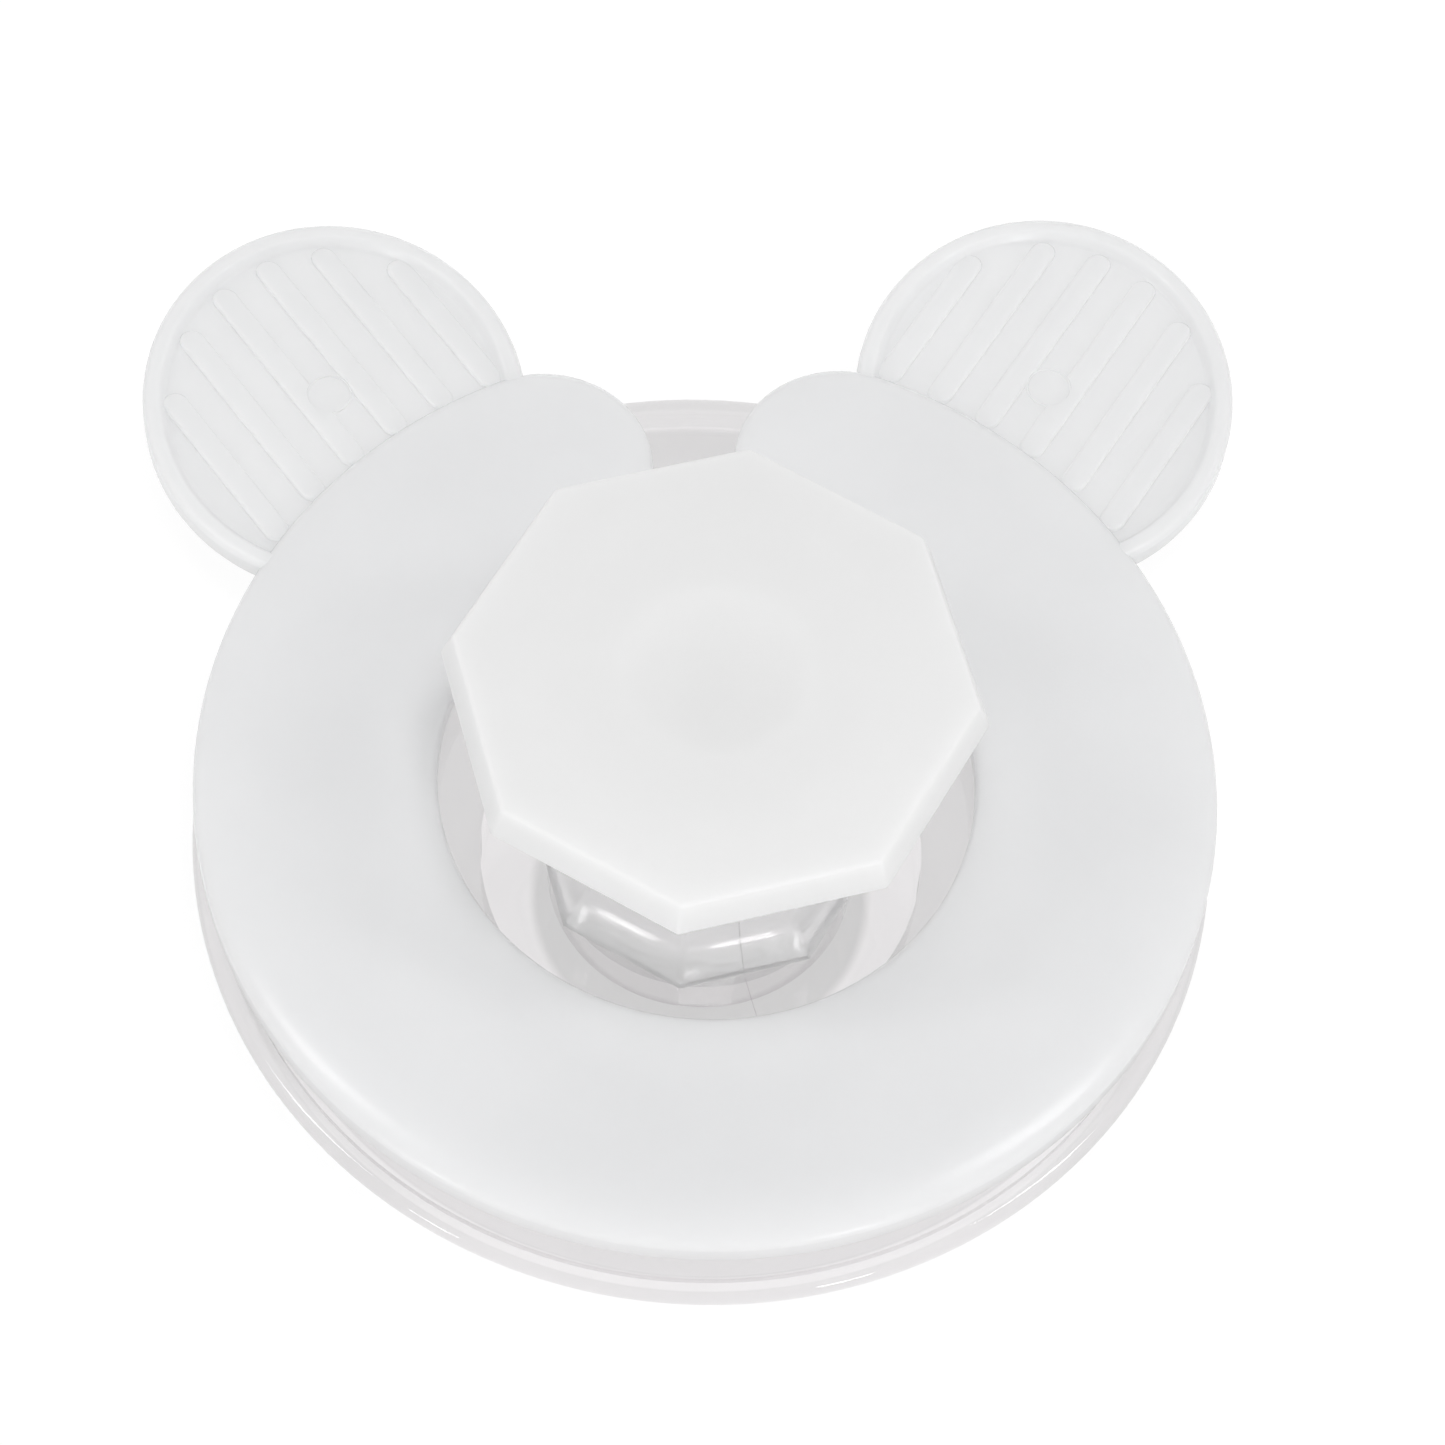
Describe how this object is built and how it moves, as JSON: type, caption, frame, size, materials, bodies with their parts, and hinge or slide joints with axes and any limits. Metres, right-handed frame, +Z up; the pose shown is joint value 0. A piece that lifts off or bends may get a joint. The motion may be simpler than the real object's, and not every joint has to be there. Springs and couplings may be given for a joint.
{
  "type": "highlighting cap",
  "caption": "Clear lipped disc with an eight-sided neck and head, and a loose split ring with ribbed finger tabs that lifts off over the head.",
  "frame": {"origin": "centre of the foot's underside, on the neck's axis", "axes": "+Z up along the neck, +Y towards the split ring's gap and finger tabs, +X to the right of it"},
  "size_m": [0.0897, 0.0958, 0.0332],
  "materials": {
    "clear_disc": "clear, glossy",
    "clear_neck": "clear, glossy",
    "frosted_head": "frosted, translucent",
    "frosted_ring": "frosted, translucent"
  },
  "bodies": {
    "spool": {"base_disc": "clear_disc", "neck_post": "clear_neck", "head_plate": "frosted_head"},
    "ring": {"clip_ring": "frosted_ring"}
  },
  "joints": [
    {"name": "ring_lift", "type": "slide", "parent": "spool", "child": "ring", "axis": [-0.0171, -0.1561, 0.9876], "range_m": [0, 0.028]}
  ]
}
